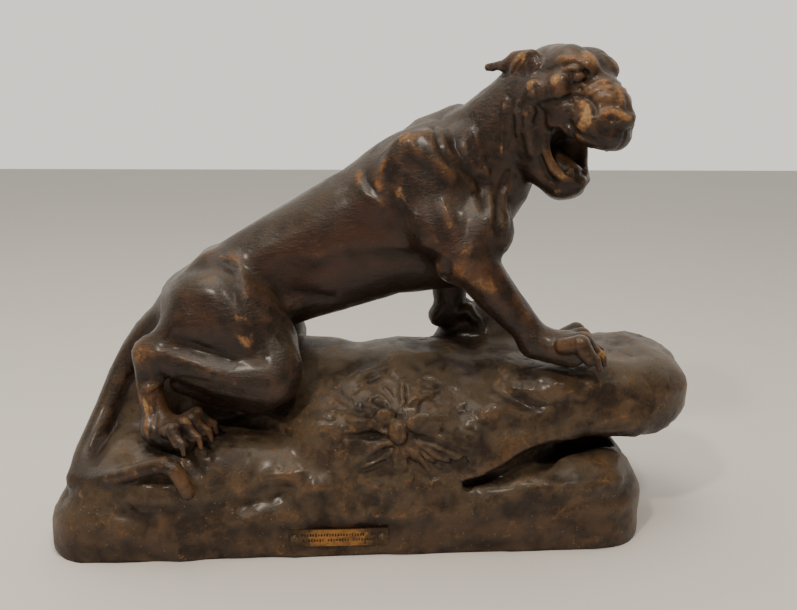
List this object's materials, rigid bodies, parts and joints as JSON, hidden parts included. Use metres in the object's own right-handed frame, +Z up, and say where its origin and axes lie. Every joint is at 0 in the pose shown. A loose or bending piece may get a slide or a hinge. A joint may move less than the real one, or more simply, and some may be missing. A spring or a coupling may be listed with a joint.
{
  "type": "terracotta tiger sculpture",
  "caption": "Dark patinated terracotta sculpture of a roaring tiger crouched on a rock ledge, its tail curled on the rock, with a small brass title plate on the front of the base.",
  "frame": {"origin": "on the flat underside of the rock base, under its middle", "axes": "+X from tail to head, the way the body faces; -Y the side with the title plate; +Z up"},
  "size_m": [0.5514, 0.204, 0.4152],
  "materials": {
    "patinated_terracotta": "dark brown patina under a worn varnish, ochre clay showing on the high points",
    "worn_brass": "worn and browned",
    "nail_brass": "dulled"
  },
  "bodies": {
    "root": {"sculpture": "patinated_terracotta", "title_plate": "worn_brass", "plate_nail_left": "nail_brass", "plate_nail_right": "nail_brass"}
  },
  "joints": []
}
